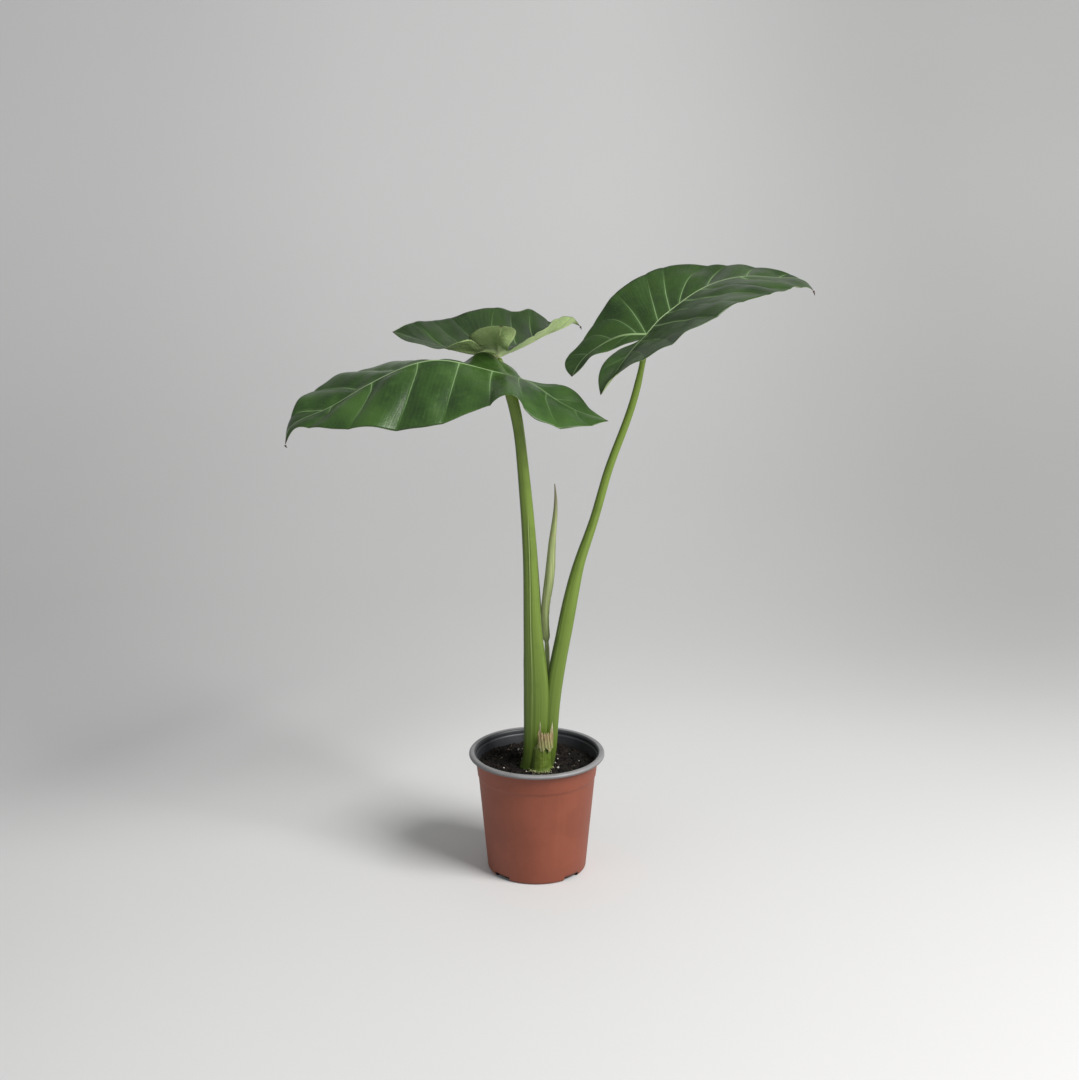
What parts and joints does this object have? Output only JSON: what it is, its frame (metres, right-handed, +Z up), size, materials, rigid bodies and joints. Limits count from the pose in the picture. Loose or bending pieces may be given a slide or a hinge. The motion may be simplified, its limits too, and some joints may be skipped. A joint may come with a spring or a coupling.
{
  "type": "potted alocasia",
  "caption": "Young alocasia plant with long arrow-shaped leaves on upright petioles, one rolled leaf and a dry sheath, rooted in soil in a thin tapered nursery pot.",
  "frame": {"origin": "centre of the pot's flat underside, on the surface that the pot stands on", "axes": "+Z is up, along the pot's axis; -Y is the plant's front; the longest leaf points to -X"},
  "size_m": [0.4515, 0.2882, 0.5313],
  "materials": {
    "terracotta_plastic": "satin",
    "potting_soil": "matte",
    "stem_green": "satin",
    "petiole_green": "satin",
    "leaf_green": "satin",
    "spear_green": "satin",
    "dry_sheath": "matte"
  },
  "bodies": {
    "root": {"pot": "terracotta_plastic", "soil": "potting_soil", "stem": "stem_green", "petiole_front": "petiole_green", "petiole_back": "petiole_green", "petiole_right": "petiole_green", "leaf_blade_front": "leaf_green", "leaf_blade_back": "leaf_green", "leaf_blade_right": "leaf_green", "spear_leaf": "spear_green", "cataphyll": "dry_sheath"}
  },
  "joints": []
}
